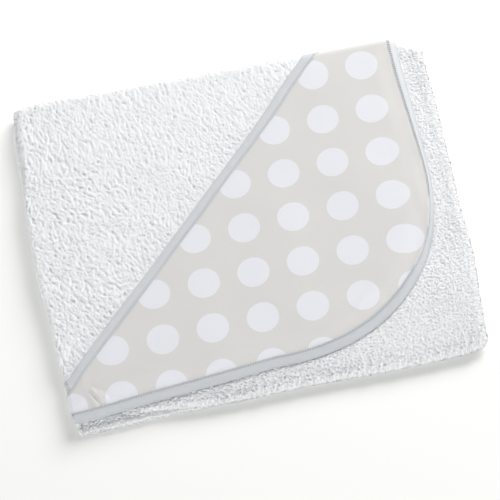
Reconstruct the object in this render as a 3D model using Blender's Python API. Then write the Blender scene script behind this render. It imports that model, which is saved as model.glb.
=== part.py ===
"""A hooded baby towel, folded into quarters with its hood on top.

Everything is laid out on one flat pattern of the opened towel (u to the right,
v to the back, h through the cloth, millimetres) and carried to the folded pack
by fold_point(): the left half turns under round the left fold, then the back
half turns under round the back fold. On the top ply, pattern and pack
coordinates are the same.
"""
import bpy
import math
from mathutils import Vector
from mathutils.geometry import delaunay_2d_cdt

MM = 0.001

# ---- cloth thicknesses ------------------------------------------------------
TERRY = 3.3          # towel body with its pile
PLY_GAP = 0.7        # half the space between the plies inside the left fold
PAIR_GAP = 0.3       # half the space between the two pairs of plies
TAPE = 0.35          # bias tape, one layer
LINING = 0.55
PANEL = 0.45

# ---- pack -------------------------------------------------------------------
LEFT, RIGHT = -191.0, 191.0
FRONT, BACK = -164.5, 164.5
G1 = PLY_GAP
G2 = PAIR_GAP + G1 + TERRY
A = math.pi * G1 / 2
B = math.pi * G2 / 2
X_FOLD = LEFT + G1 + TERRY
Y_FOLD = BACK - (G2 + G1 + TERRY)
U_FOLD = X_FOLD - A
V_FOLD = Y_FOLD + B
Z_MID = G2 + G1 + TERRY
HINGE_Y = Y_FOLD + 3.4      # leaves room for the bend's cloth once the pack is opened
HINGE_Z = Z_MID + 1.35

# ---- towel outline on the pattern -------------------------------------------
EDGE = 0.45                                   # room for the overlock thread
U_LEFT = U_FOLD - (RIGHT - EDGE - X_FOLD + A)
V_FRONT = FRONT + EDGE
V_BACK = V_FOLD + (Y_FOLD - (FRONT + EDGE) + B)
U_RIGHT = 170.5
CORNER_R = 7.0

# hood: its free edge is the line u - v = HOOD_LINE, at 45 degrees to the weave
HOOD_LINE = -77.0
SQ2 = math.sqrt(2)
TAPE_W = 9.3
GAP_T = 0.45         # space between the hood panel and its edge binding


def smooth(a, b, x):
    t = min(1.0, max(0.0, (x - a) / (b - a)))
    return t * t * (3 - 2 * t)


def fold_point(u, v, h):
    """Flat pattern (mm) to the folded pack (m)."""
    s = u - U_FOLD
    if s > A:
        x, eta = X_FOLD + (s - A), G1 + h
    elif s < -A:
        x, eta = X_FOLD + (-s - A), -(G1 + h)
    else:
        psi = math.pi / 2 * (1 - s / A)
        x, eta = X_FOLD - (G1 + h) * math.sin(psi), (G1 + h) * math.cos(psi)
    q = V_FOLD - v
    r = G2 + eta
    if q > B:
        y, z = Y_FOLD - (q - B), Z_MID + r
    elif q < -B:
        y, z = Y_FOLD - (-q - B), Z_MID - r
    else:
        chi = math.pi / 2 * (1 - q / B)
        y, z = Y_FOLD + r * math.sin(chi), Z_MID + r * math.cos(chi)
    return Vector((x * MM, y * MM, z * MM))


# ---- outlines ---------------------------------------------------------------
def line(p, q, n):
    return [(p[0] + (q[0] - p[0]) * i / n, p[1] + (q[1] - p[1]) * i / n) for i in range(n)]


def bezier(p, a, b, q, n):
    out = []
    for i in range(n):
        t = i / n
        c = ((1 - t) ** 3, 3 * (1 - t) ** 2 * t, 3 * (1 - t) * t * t, t ** 3)
        out.append(tuple(c[0] * p[k] + c[1] * a[k] + c[2] * b[k] + c[3] * q[k] for k in (0, 1)))
    return out


def hood_edge():
    """The hood's sewn edge, from its back tip round the big corner to its left tip."""
    back_tip = (U_RIGHT - 1.0, U_RIGHT - 1.0 - HOOD_LINE)
    left_v = -153.5
    left_tip = (left_v + HOOD_LINE, left_v)
    pts = line(back_tip, (169.3, 165.0), 5) + line((169.3, 165.0), (171.3, 20.0), 7)
    pts += bezier((171.3, 20.0), (171.3, -65.0), (117.3, -145.6), (0.0, -140.0), 24)
    pts += line((0.0, -140.0), left_tip, 12) + [left_tip]
    return pts


HOOD_EDGE = hood_edge()
BACK_TIP, LEFT_TIP = HOOD_EDGE[0], HOOD_EDGE[-1]


def rounded(c, start, end, n=3):
    """A quarter-round corner at c between directions start and end."""
    (sx, sy), (ex, ey) = start, end
    p0 = (c[0] - sx * CORNER_R, c[1] - sy * CORNER_R)
    p1 = (c[0] + ex * CORNER_R, c[1] + ey * CORNER_R)
    k = 0.55
    return bezier(p0, (p0[0] + sx * CORNER_R * k, p0[1] + sy * CORNER_R * k),
                  (p1[0] - ex * CORNER_R * k, p1[1] - ey * CORNER_R * k), p1, n) + [p1]


FRONT_RUN = bezier(LEFT_TIP, (LEFT_TIP[0] - 60, LEFT_TIP[1] - 5.2), (-290, V_FRONT), (-352, V_FRONT), 12) + [(-352, V_FRONT)]
HEM = (FRONT_RUN
       + rounded((U_LEFT, V_FRONT), (-1, 0), (0, 1))
       + rounded((U_LEFT, V_BACK), (0, 1), (1, 0))
       + rounded((U_RIGHT, V_BACK), (1, 0), (0, -1))
       + [(U_RIGHT, BACK_TIP[1] + 12), BACK_TIP])


def seg_distance(p, a, b):
    ax, ay = b[0] - a[0], b[1] - a[1]
    t = ((p[0] - a[0]) * ax + (p[1] - a[1]) * ay) / (ax * ax + ay * ay)
    t = min(1.0, max(0.0, t))
    return math.hypot(p[0] - a[0] - ax * t, p[1] - a[1] - ay * t)


def edge_distance(u, v):
    return min(seg_distance((u, v), HOOD_EDGE[i], HOOD_EDGE[i + 1]) for i in range(len(HOOD_EDGE) - 1))


def front_distance(u, v):
    """Distance into the hood from its free edge; negative outside the hood."""
    return (u - v - HOOD_LINE) / SQ2


def offset(path, d):
    """A path moved sideways to the left of its direction by d."""
    out = []
    for i, p in enumerate(path):
        a, b = path[max(0, i - 1)], path[min(len(path) - 1, i + 1)]
        n = math.hypot(b[0] - a[0], b[1] - a[1])
        out.append((p[0] - (b[1] - a[1]) / n * d, p[1] + (b[0] - a[0]) / n * d))
    return out


# ---- how deep the cloth lies ------------------------------------------------
def recess(u, v):
    """How far the terry's outside sinks so that the hood's turned tips lie flush."""
    f = smooth(-18.0, -9.0, front_distance(u, v))
    left = 1 - smooth(U_FOLD - A, U_FOLD + A + 16, u)
    back = smooth(V_FOLD - B - 16, V_FOLD + B, v)
    return 2.35 * f * max(left, back)


def bound(u, v):
    """1 where the edge binding presses the cloth flat, 0 in the open."""
    d = edge_distance(u, v)
    ends = smooth(-18.0, -9.0, front_distance(u, v))
    return (1 - smooth(10.5, 26.0, d)) * ends


def hemmed(u, v):
    """1 under the overlock along the plain edges, 0 in the open."""
    if U_LEFT + 11 < u < U_RIGHT - 11 and V_FRONT + 30 < v < V_BACK - 11:
        return 0.0
    return 1 - smooth(4.1, 10.0, min(seg_distance((u, v), HEM[i], HEM[i + 1]) for i in range(len(HEM) - 1)))


def terry_top(u, v):
    return TERRY - max(2.05 * bound(u, v), recess(u, v), 0.5 * hemmed(u, v))


def terry_bottom(u, v):
    return 0.55 * bound(u, v)


def lining_bottom(u, v):
    return terry_top(u, v) + 0.6


def lining_top(u, v):
    return lining_bottom(u, v) + LINING


def panel_bottom(u, v):
    return lining_top(u, v) + 0.13


def panel_top(u, v):
    return panel_bottom(u, v) + PANEL


# ---- pattern grid -----------------------------------------------------------
def steps(a, b, size):
    n = max(1, round(abs(b - a) / size))
    return [a + (b - a) * i / n for i in range(n)]


U_ARC = [U_FOLD + A * (i / 4 - 1) for i in range(9)]
V_ARC = [V_FOLD + B * (i / 4 - 1) for i in range(9)]
US = (steps(U_LEFT, U_FOLD - 70, 40) + steps(U_FOLD - 70, U_FOLD - A, 11) + U_ARC
      + steps(U_FOLD + A, U_FOLD + 18, 4.5)[1:] + steps(U_FOLD + 18, U_FOLD + 28, 10) + steps(U_FOLD + 28, 172.5, 34) + [172.5])
VS = (steps(V_FRONT, -110, 11) + steps(-110, V_FOLD - B - 24, 34)
      + steps(V_FOLD - B - 24, V_FOLD - B - 16, 8) + steps(V_FOLD - B - 16, V_FOLD - B, 4.5) + V_ARC
      + steps(V_FOLD + B, V_FOLD + 84, 12)[1:] + steps(V_FOLD + 84, V_BACK, 40) + [V_BACK])


def inside(p, poly):
    x, y = p
    c = False
    for i in range(len(poly)):
        (x1, y1), (x2, y2) = poly[i - 1], poly[i]
        if (y1 > y) != (y2 > y) and x < (x2 - x1) * (y - y1) / (y2 - y1) + x1:
            c = not c
    return c


def crossings(poly, closed=True, around=0):
    """Adds a point wherever the outline crosses a line of either fold, and beside the left fold."""
    step = U_ARC[1] - U_ARC[0]
    u_lines = [U_ARC[0] - step * k for k in range(around, 0, -1)] + U_ARC + [U_ARC[-1] + step * k for k in range(1, around + 1)]
    out = []
    n = len(poly)
    for i in range(n if closed else n - 1):
        p, q = poly[i], poly[(i + 1) % n]
        ts = [0.0]
        for k, lines in ((0, u_lines), (1, V_ARC)):
            if abs(q[k] - p[k]) > 1e-9:
                ts += [(c - p[k]) / (q[k] - p[k]) for c in lines]
        ts = sorted(t for t in ts if 0.0 <= t < 1.0)
        kept = []
        length = math.hypot(q[0] - p[0], q[1] - p[1])
        for t in ts:
            if not kept or (t - kept[-1]) * length > 0.02:
                kept.append(t)
        out += [(p[0] + (q[0] - p[0]) * t, p[1] + (q[1] - p[1]) * t) for t in kept]
    if not closed:
        out.append(poly[-1])
    return out


def clip(poly, axis, value, keep_above):
    """Cuts an outline by a line of constant u (axis 0) or v (axis 1)."""
    sign = 1 if keep_above else -1
    out = []
    for i in range(len(poly)):
        p, q = poly[i - 1], poly[i]
        fp, fq = sign * (p[axis] - value), sign * (q[axis] - value)
        if (fp >= 0) != (fq >= 0):
            t = fp / (fp - fq)
            out.append((p[0] + (q[0] - p[0]) * t, p[1] + (q[1] - p[1]) * t))
        if fq >= 0:
            out.append(q)
    clean = []
    for p in out:
        if not clean or math.hypot(p[0] - clean[-1][0], p[1] - clean[-1][1]) > 0.05:
            clean.append(p)
    if math.hypot(clean[0][0] - clean[-1][0], clean[0][1] - clean[-1][1]) <= 0.05:
        clean.pop()
    return clean


def densify(poly, us, vs, limit=30.0):
    """Subdivides long straight runs at the pattern's grid lines."""
    out = []
    for i in range(len(poly)):
        p, q = poly[i], poly[(i + 1) % len(poly)]
        length = math.hypot(q[0] - p[0], q[1] - p[1])
        ts = [0.0]
        if length > 12:
            for k, lines in ((0, us), (1, vs)):
                if abs(q[k] - p[k]) > 0.9 * length:
                    ts += [(c - p[k]) / (q[k] - p[k]) for c in lines]
            if len(ts) == 1:
                ts += [j / round(length / 10) for j in range(1, max(1, round(length / 10)))]
        kept = []
        for t in sorted(ts):
            if 0 <= t and (1 - t) * length > 0.5 and (not kept or (t - kept[-1]) * length > 0.1):
                kept.append(t)
        out += [(p[0] + (q[0] - p[0]) * t, p[1] + (q[1] - p[1]) * t) for t in kept]
    return out


# ---- moving groups ----------------------------------------------------------
HOOD_HINGE = (127.0, -97.0, Z_MID + G2 + G1 + 1.3)     # the big corner's outermost point
GROUPS = {
    "lower": (0.0, 0.0, 0.0),
    "upper": (0.0, HINGE_Y, HINGE_Z),                     # the back fold's axis
    "hood": HOOD_HINGE,
}
GROUP_OF = {
    "terry_upper_half": "upper", "hood_edge_binding": "upper", "edge_binding_thread": "upper",
    "overlock_upper_half": "upper", "hood_panel_left_wrap": "upper", "front_binding_left_wrap": "upper",
    "hood_panel": "hood", "hood_lining": "hood", "hood_front_binding": "hood", "front_binding_thread": "hood",
}


def group_empty(group):
    name = "axis_%s" % group
    empty = bpy.data.objects.get(name)
    if empty is None:
        empty = bpy.data.objects.new(name, None)
        empty.empty_display_size = 0.03
        bpy.context.scene.collection.objects.link(empty)
        x, y, z = GROUPS[group]
        if group == "hood":
            empty.parent = group_empty("upper")
            x, y, z = x - GROUPS["upper"][0], y - GROUPS["upper"][1], z - GROUPS["upper"][2]
        empty.location = (x * MM, y * MM, z * MM)
    return empty


def new_object(name, verts, faces, look):
    """One node: its mesh about its group's axis, its own material, smooth where it bends."""
    group = GROUP_OF.get(name, "lower")
    origin = Vector(GROUPS[group]) * MM
    mesh = bpy.data.meshes.new(name)
    mesh.from_pydata([tuple(v - origin) for v in verts], [], faces)
    mesh.update()
    obj = bpy.data.objects.new(name, mesh)
    bpy.context.scene.collection.objects.link(obj)
    if group != "lower":
        obj.parent = group_empty(group)
    mesh.shade_smooth()
    mesh.set_sharp_from_angle(angle=math.radians(35))
    colour, roughness = look
    mat = bpy.data.materials.new(name)
    mat.use_nodes = True
    bsdf = mat.node_tree.nodes["Principled BSDF"]
    bsdf.inputs["Base Color"].default_value = (*colour, 1)
    bsdf.inputs["Roughness"].default_value = roughness
    bsdf.inputs["Metallic"].default_value = 0.0
    mat.diffuse_color = (*colour, 1)
    mesh.materials.append(mat)
    return obj


def spaced(path, size):
    """The path again, with points about size apart."""
    total = sum(math.hypot(path[i + 1][0] - path[i][0], path[i + 1][1] - path[i][1]) for i in range(len(path) - 1))
    n = max(1, round(total / size))
    want, out, run = [total * k / n for k in range(n + 1)], [path[0]], 0.0
    k = 1
    for i in range(len(path) - 1):
        p, q = path[i], path[i + 1]
        length = math.hypot(q[0] - p[0], q[1] - p[1])
        while k < n and want[k] <= run + length:
            t = (want[k] - run) / length
            out.append((p[0] + (q[0] - p[0]) * t, p[1] + (q[1] - p[1]) * t))
            k += 1
        run += length
    return out + [path[-1]]


def pattern_points():
    """Points shared by every layer, so that stacked layers bend alike."""
    lines = [offset(HOOD_EDGE, -(TAPE_W + GAP_T))]
    lines += [spaced(offset(HOOD_EDGE, -d), size) for d, size in ((18, 18), (26.2, 20))]
    lines += [spaced(offset(HEM, -d), 40) for d in (4.2, 10.0)]
    for f in (-18.2, -8.8, 0.5):
        a, b = LEFT_TIP[0] - 20, U_FOLD + 26
        lines.append([(a + (b - a) * i / 8, a + (b - a) * i / 8 - HOOD_LINE - f * SQ2) for i in range(9)])
        a, b = V_FOLD - 26 + HOOD_LINE, BACK_TIP[0] + 10
        lines.append([(a + (b - a) * i / 14, a + (b - a) * i / 14 - HOOD_LINE - f * SQ2) for i in range(15)])
    curve, chains = [], []
    for path in lines:
        chains.append([])
        for p in crossings(path, closed=False):
            on_arc = min(abs(p[0] - c) for c in U_ARC) < 1e-6 or min(abs(p[1] - c) for c in V_ARC) < 1e-6
            gap = min((math.hypot(p[0] - c[0], p[1] - c[1]) for c in curve), default=99)
            if gap > (0.08 if on_arc else 2.5):
                curve.append(p)
                chains[-1].append(p)
    arc_u, arc_v = set(U_ARC), set(V_ARC)
    out = list(curve)
    for u in US:
        for v in VS:
            near = 0.3 if (u in arc_u or v in arc_v) else 3.4
            if all(abs(u - c[0]) > near or abs(v - c[1]) > near for c in curve):
                out.append((u, v))
    return out, chains


def refine(poly, top):
    """Halves the outline's runs until the cloth's depth is straight along each."""
    out = []

    def add(p, q, depth):
        m = ((p[0] + q[0]) / 2, (p[1] + q[1]) / 2)
        quarter = ((p[0] * 3 + q[0]) / 4, (p[1] * 3 + q[1]) / 4)
        bend = max(abs(top(*m) - (top(*p) + top(*q)) / 2), abs(top(*quarter) - (top(*p) * 3 + top(*q)) / 4))
        if depth < 5 and bend > 0.04:
            add(p, m, depth + 1)
            add(m, q, depth + 1)
        else:
            out.append(p)

    for i in range(len(poly)):
        add(poly[i], poly[(i + 1) % len(poly)], 0)
    return out


def chain_meets(poly):
    """The outline with a point where each pattern line crosses it, and those lines' inner ends."""
    found = {}
    ends = []
    for chain in CHAINS:
        for p, q in zip(chain, chain[1:]):
            if inside(p, poly) == inside(q, poly):
                continue
            for i in range(len(poly)):
                a, b = poly[i], poly[(i + 1) % len(poly)]
                den = (q[0] - p[0]) * (b[1] - a[1]) - (q[1] - p[1]) * (b[0] - a[0])
                if abs(den) < 1e-12:
                    continue
                t = ((a[0] - p[0]) * (b[1] - a[1]) - (a[1] - p[1]) * (b[0] - a[0])) / den
                w = ((a[0] - p[0]) * (q[1] - p[1]) - (a[1] - p[1]) * (q[0] - p[0])) / den
                length = math.hypot(b[0] - a[0], b[1] - a[1])
                if 0 <= t <= 1 and 0.1 < w * length < length - 0.1:
                    c = (a[0] + (b[0] - a[0]) * w, a[1] + (b[1] - a[1]) * w)
                    found.setdefault(i, []).append((w, c))
                    ends.append((p if inside(p, poly) else q, c))
    out = []
    for i in range(len(poly)):
        out.append(poly[i])
        out += [c for _, c in sorted(found.get(i, []))]
    return out, ends


def wavering(u, v):
    """The recess's two straight borders, moved a little either way, so that no three of their points line up."""
    near = min(abs(front_distance(u, v) + 8.8), abs(front_distance(u, v) + 18.2)) < 0.02
    if not near or abs(u - U_FOLD) < A + 0.6 or abs(v - V_FOLD) < B + 0.6:
        return u, v
    d = 0.1 * math.sin(1.7 * u)
    return u + d, v - d


def cloth(name, outline, bottom, top, colour, margin=2.2):
    """A closed sheet: the outline filled on the pattern, given its two faces and folded."""
    poly = crossings(refine(refine(densify(outline, US, VS), top), bottom))
    poly, ends = chain_meets(poly)
    pts = list(poly)
    for u, v in POINTS:
        if not inside((u, v), poly):
            continue
        d = min(seg_distance((u, v), poly[i - 1], poly[i]) for i in range(len(poly)))
        arc = min(abs(u - c) for c in U_ARC) < 1e-6 or min(abs(v - c) for c in V_ARC) < 1e-6
        if d > (0.3 if arc else margin):
            pts.append((u, v))
    n = len(poly)
    loop = list(range(n))
    area = sum(poly[i - 1][0] * poly[i][1] - poly[i][0] * poly[i - 1][1] for i in range(n))
    if area < 0:
        loop.reverse()
    kept = {p: i for i, p in enumerate(pts)}
    ties = set()
    for chain in CHAINS:
        for p, q in zip(chain, chain[1:]):
            if p in kept and q in kept and kept[p] >= n and kept[q] >= n:
                ties.add((kept[p], kept[q]))
    ties |= {(kept[p], kept[c]) for p, c in ends if p in kept and c in kept}
    for axis, lines in ((0, U_ARC), (1, V_ARC)):
        for c in lines:
            row = sorted((p[1 - axis], i) for i, p in enumerate(pts) if abs(p[axis] - c) < 1e-6)
            for (a, i), (b, j) in zip(row, row[1:]):
                mid = (c, (a + b) / 2) if axis == 0 else ((a + b) / 2, c)
                if inside(mid, poly):
                    ties.add((i, j))
    flat, _, tris, *_ = delaunay_2d_cdt([Vector(p) for p in pts], sorted(ties), [loop], 1, 1e-5)
    flat = [(p[0], p[1]) if i < n else wavering(p[0], p[1]) for i, p in enumerate(flat)]
    faces_top = []
    for t in tris:
        t = list(t)
        a = sum(flat[t[i - 1]][0] * flat[t[i]][1] - flat[t[i]][0] * flat[t[i - 1]][1] for i in range(len(t)))
        faces_top.append(t if a > 0 else t[::-1])
    used = sorted({i for t in faces_top for i in t})
    index = {old: k for k, old in enumerate(used)}
    flat = [flat[i] for i in used]
    faces_top = [[index[i] for i in t] for t in faces_top]
    m = len(flat)
    verts = [fold_point(u, v, top(u, v)) for u, v in flat] + [fold_point(u, v, bottom(u, v)) for u, v in flat]
    edges = {(t[i - 1], t[i]) for t in faces_top for i in range(len(t))}
    faces = list(faces_top) + [[i + m for i in reversed(t)] for t in faces_top]
    for a, b in edges:
        if (b, a) not in edges:
            faces += [[b, a, a + m], [b, a + m, b + m]]
    return new_object(name, verts, faces, colour)


def sweep(name, path, section, colour):
    """A closed bar: a section of (distance to the left, depth) carried along a path on the pattern."""
    path = crossings(path, closed=False, around=5)
    k = len(section(*path[0]))
    normals = []
    for i in range(len(path)):
        a, b = path[max(0, i - 1)], path[min(len(path) - 1, i + 1)]
        n = math.hypot(b[0] - a[0], b[1] - a[1])
        normals.append((-(b[1] - a[1]) / n, (b[0] - a[0]) / n))
    verts = []
    for p, n in zip(path, normals):
        for d, h in section(*p):
            u, v = p[0] + n[0] * d, p[1] + n[1] * d
            verts.append(fold_point(u, v, h(u, v)))
    faces = []
    for i in range(len(path) - 1):
        for j in range(k):
            a, b = i * k + j, i * k + (j + 1) % k
            faces += [[a, b, b + k], [a, b + k, a + k]]
    start = [0, *range(1, k)]
    last = (len(path) - 1) * k
    faces.append(start[::-1])
    faces.append([last + j for j in range(k)])
    return new_object(name, verts, faces, colour)


# ---- looks: colour and roughness --------------------------------------------
WHITE = ((0.90, 0.91, 0.92), 0.95)
PRINT = ((0.70, 0.68, 0.65), 0.85)
BLUE = ((0.57, 0.62, 0.64), 0.8)
LINE = ((0.82, 0.82, 0.80), 0.9)
THREAD = ((0.93, 0.94, 0.95), 0.7)

for startup in list(bpy.data.objects):
    bpy.data.objects.remove(startup)

POINTS, CHAINS = pattern_points()

# ---- towel body -------------------------------------------------------------
CUT = 0.15                        # half the space between nodes along a cut
V_NEAR = V_FOLD - B - 0.6         # the back fold's node starts just before the bend
V_FAR = V_FOLD + B + 0.6


towel = HOOD_EDGE[:-1] + HEM[:-1]

upper = clip(towel, 1, V_NEAR - CUT, False)
lower = clip(towel, 1, V_FAR + CUT, True)
bend = clip(clip(towel, 1, V_NEAR + CUT, True), 1, V_FAR - CUT, False)

cloth("terry_upper_half", upper, terry_bottom, terry_top, WHITE)
cloth("terry_lower_half", lower, terry_bottom, terry_top, WHITE)
cloth("terry_back_fold", bend, terry_bottom, terry_top, WHITE)


# ---- edge binding: a U of tape round the hood's sewn edge --------------------
def u_section(width, out, t, low, high, parts=2):
    """A turned tape, open to the left: the lower leg above low, the upper leg below high."""
    ds = [width * k / parts for k in range(parts + 1)]
    lower = [(-out, low)] + [(d, low) for d in ds[1:]]
    back = [(d, lambda u, v: low(u, v) + t) for d in ds[:0:-1]] + [(-out + t, lambda u, v: low(u, v) + t)]
    over = [(-out + t, lambda u, v: high(u, v) - t)] + [(d, lambda u, v: high(u, v) - t) for d in ds[1:]]
    upper = [(d, high) for d in ds[:0:-1]] + [(-out, high)]
    return lower + back + over + upper


def tape_top(u, v):
    return terry_top(u, v) + 0.3 + TAPE


def tape_low(u, v):
    return 0.05


def edge_section(u, v):
    return u_section(TAPE_W, 0.55, TAPE, tape_low, tape_top)


def between(path, axis, lo, hi):
    """The run of an open path whose coordinate stays between lo and hi."""
    out = []
    for i in range(len(path) - 1):
        p, q = path[i], path[i + 1]
        ts = []
        for c in (lo, hi):
            if abs(q[axis] - p[axis]) > 1e-9:
                t = (c - p[axis]) / (q[axis] - p[axis])
                if 0 < t < 1:
                    ts.append(t)
        for t in [0.0] + sorted(ts) + [1.0]:
            c = (p[0] + (q[0] - p[0]) * t, p[1] + (q[1] - p[1]) * t)
            if lo - 1e-6 <= c[axis] <= hi + 1e-6 and (not out or math.hypot(c[0] - out[-1][0], c[1] - out[-1][1]) > 0.02):
                out.append(c)
    return out


# The path runs from the back tip to the left tip, so the towel is on its right; the section
# wants it on the left, so the path is reversed.
edge_path = HOOD_EDGE[::-1]
main_edge = between(edge_path, 1, -1e9, V_NEAR - CUT)
back_edge = between(edge_path, 1, V_NEAR + CUT, 1e9)
sweep("hood_edge_binding", main_edge, edge_section, BLUE)
sweep("edge_binding_back_wrap", back_edge, edge_section, BLUE)


def stitch_section(width, inset, base):
    """A thin flat thread lying on tape, inset from the path."""
    def low(u, v):
        return base(u, v) + 0.08

    def high(u, v):
        return base(u, v) + 0.36

    return lambda u, v: [(inset, low), (inset + width, low), (inset + width, high), (inset, high)]


thread_run = between(main_edge, 0, U_FOLD + A + 3, 1e9)
sweep("edge_binding_thread", thread_run, stitch_section(0.7, 7.3, tape_top), THREAD)

# ---- overlocked hems --------------------------------------------------------
def hem_section(u, v):
    return u_section(3.6, 0.42, 0.2, lambda u, v: terry_bottom(u, v) - 0.35, lambda u, v: terry_top(u, v) + 0.35, parts=1)


def hem_run(points):
    out = []
    for i in range(len(points) - 1):
        n = max(1, round(math.hypot(points[i + 1][0] - points[i][0], points[i + 1][1] - points[i][1]) / 60))
        out += line(points[i], points[i + 1], n)
    return out + [points[-1]]


full_hem = hem_run(HEM)           # left tip, front, left side, back, right side, back tip: towel on the right
lower_run = between(full_hem, 1, V_FAR + CUT, 1e9)
lower_run = [p for p in lower_run if not (abs(p[0] - U_RIGHT) < 2 and p[1] < BACK_TIP[1] + 30)]
upper_run = [p for p in between(full_hem, 1, -1e9, V_NEAR - CUT) if p[0] < LEFT_TIP[0] - 24]
bend_run = [p for p in between(full_hem, 1, V_NEAR + CUT, V_FAR - CUT) if p[0] < -300]
sweep("overlock_lower_half", lower_run[::-1], hem_section, THREAD)
sweep("overlock_upper_half", upper_run[::-1], hem_section, THREAD)
sweep("overlock_back_fold", bend_run[::-1], hem_section, THREAD)

# ---- hood -------------------------------------------------------------------
inner_edge = offset(HOOD_EDGE, -(TAPE_W + GAP_T))   # the hood's own outline inside the tape


def hood_outline(front_gap):
    """The hood inside its edge binding and behind its free edge by front_gap."""
    c = HOOD_LINE + front_gap * SQ2
    pts = [p for p in inner_edge if p[0] - p[1] > c]
    p, q = inner_edge[0], pts[0]
    def meet(a, b):
        fa, fb = a[0] - a[1] - c, b[0] - b[1] - c
        t = fa / (fa - fb)
        return (a[0] + (b[0] - a[0]) * t, a[1] + (b[1] - a[1]) * t)
    i0 = inner_edge.index(pts[0])
    i1 = inner_edge.index(pts[-1])
    first = meet(inner_edge[i0 - 1], pts[0]) if i0 > 0 else pts[0]
    end = meet(pts[-1], inner_edge[i1 + 1]) if i1 + 1 < len(inner_edge) else pts[-1]
    run = [first] + pts + [end]
    diag = line(end, first, 44)
    return run + diag[1:]


U_FLAT = U_FOLD + A + 17.5
V_FLAT = V_FOLD - B - 17.5
full_hood = hood_outline(0.5)
flat_hood = clip(clip(full_hood, 0, U_FLAT, True), 1, V_FLAT, False)
cloth("hood_panel", flat_hood, panel_bottom, panel_top, PRINT)
cloth("hood_lining", flat_hood, lining_bottom, lining_top, LINE)
left_wrap = clip(full_hood, 0, U_FLAT - 0.4, False)
back_wrap = clip(full_hood, 1, V_FLAT + 0.4, True)
cloth("hood_panel_left_wrap", left_wrap, lining_bottom, panel_top, PRINT, margin=1.6)
cloth("hood_panel_back_wrap", back_wrap, lining_bottom, panel_top, PRINT, margin=1.6)


# ---- front binding: a U of tape round the hood's free edge -------------------
def front_low(u, v):
    return terry_top(u, v) + 0.12


def front_top(u, v):
    return panel_top(u, v) + 0.2 + TAPE


def front_section(u, v):
    return u_section(TAPE_W, 0.0, TAPE, front_low, front_top)


def diagonal(p_u, q_u, n):
    return [(p_u + (q_u - p_u) * i / n, p_u + (q_u - p_u) * i / n - HOOD_LINE) for i in range(n + 1)]


reach = TAPE_W / SQ2 + 0.6                          # a strip's square end stays clear of the cut
u_left_cut = U_FLAT + reach
u_back_cut = V_FLAT + HOOD_LINE - reach
# travelling towards the front-left, the hood lies on the left
sweep("hood_front_binding", diagonal(u_back_cut, u_left_cut, 14), front_section, BLUE)


def strip(f0, f1, poly):
    """The part of an outline between two distances from the hood's free edge."""
    turned = [(front_distance(*p), p[0] + p[1]) for p in poly]
    turned = clip(clip(turned, 0, f0, True), 0, f1, False)
    return [((f * SQ2 + HOOD_LINE + w) / 2, (w - f * SQ2 - HOOD_LINE) / 2) for f, w in turned]


def strip_bottom(u, v):
    return panel_top(u, v) + 0.22


cloth("front_binding_left_wrap", strip(0.6, TAPE_W, left_wrap), strip_bottom, front_top, BLUE, margin=1.2)
cloth("front_binding_back_wrap", strip(0.6, TAPE_W, back_wrap), strip_bottom, front_top, BLUE, margin=1.2)
sweep("front_binding_thread", diagonal(u_back_cut - 4, u_left_cut + 4, 30), stitch_section(0.7, 7.9, front_top), THREAD)
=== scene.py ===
"""Looks of the hooded baby towel: terry body folded in quarters, printed hood, bias tape and stitching.

Like the CAD model, every piece is laid out on the flat pattern of the opened towel
(u right, v back, h through the cloth, millimetres) and carried to the folded pack by
fold(). A small settling of the pack, the same for every piece, follows.
"""
import math
import bpy
import numpy as np
from mathutils import Matrix, Vector


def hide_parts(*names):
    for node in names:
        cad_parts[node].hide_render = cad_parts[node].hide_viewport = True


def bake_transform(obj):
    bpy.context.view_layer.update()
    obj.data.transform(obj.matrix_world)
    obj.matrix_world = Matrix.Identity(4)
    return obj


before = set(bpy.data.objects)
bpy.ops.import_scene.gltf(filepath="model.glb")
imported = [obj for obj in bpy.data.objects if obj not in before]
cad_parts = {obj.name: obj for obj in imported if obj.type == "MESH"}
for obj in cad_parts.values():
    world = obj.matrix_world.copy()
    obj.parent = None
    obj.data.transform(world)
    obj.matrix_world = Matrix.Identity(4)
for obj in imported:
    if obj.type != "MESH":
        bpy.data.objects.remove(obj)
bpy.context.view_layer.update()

MM = 0.001
TINY = 1e-6
WAVES = 9  # long waves that make an uneven surface
SQ2 = math.sqrt(2)

# ---- cloth thicknesses and the pack, as in the CAD model ----
TERRY, PLY_GAP, PAIR_GAP = 3.3, 0.7, 0.3
TAPE, LINING, PANEL = 0.35, 0.55, 0.45
END, FRONT, BACK = -191.0, -164.5, 164.5  # the pack's left end, front and back
G1 = PLY_GAP  # inner radius of the left folds
G2 = PAIR_GAP + G1 + TERRY  # and of the back fold
A, B = math.pi * G1 / 2, math.pi * G2 / 2  # half of each fold's arc on the pattern
X_FOLD = END + G1 + TERRY  # the folds' axes in the pack
Y_FOLD = BACK - (G2 + G1 + TERRY)
U_FOLD, V_FOLD = X_FOLD - A, Y_FOLD + B  # and the middles of their arcs on the pattern
Z_MID = G2 + G1 + TERRY
EDGE = 0.45  # how far the towel's edges stay inside the pack
U_LEFT = U_FOLD - (-END - EDGE - X_FOLD + A)
U_RIGHT = 170.5
V_FRONT = FRONT + EDGE
V_BACK = V_FOLD + (Y_FOLD - V_FRONT + B)
HOOD_LINE = -77.0  # u - v on the hood's free edge
TAPE_W = 9.3
SEAM_IN = 7.65  # from a tape's turn to its stitches
HEM_STITCH = 2.8
STITCH, STITCH_LENGTH, STITCH_R = 2.3, 0.74, 0.22  # pitch, share of it that is thread, radius
V_NEAR = V_FOLD - B - 0.6  # the hood's cloth is cut here, before the back fold
DOT_PITCH, DOT_U, DOT_V, DOT_R, DOT_BLUR = 46.0, 133.3, 139.1, 14.7, 0.35
CORNER_R, CORNER_K = 7.0, 0.55  # the plain corners: radius, and handle length over it
TERRY_END, HOOD_END = 172.4, 172.6  # the lattices' right ends, beyond the towel's edge


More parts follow.
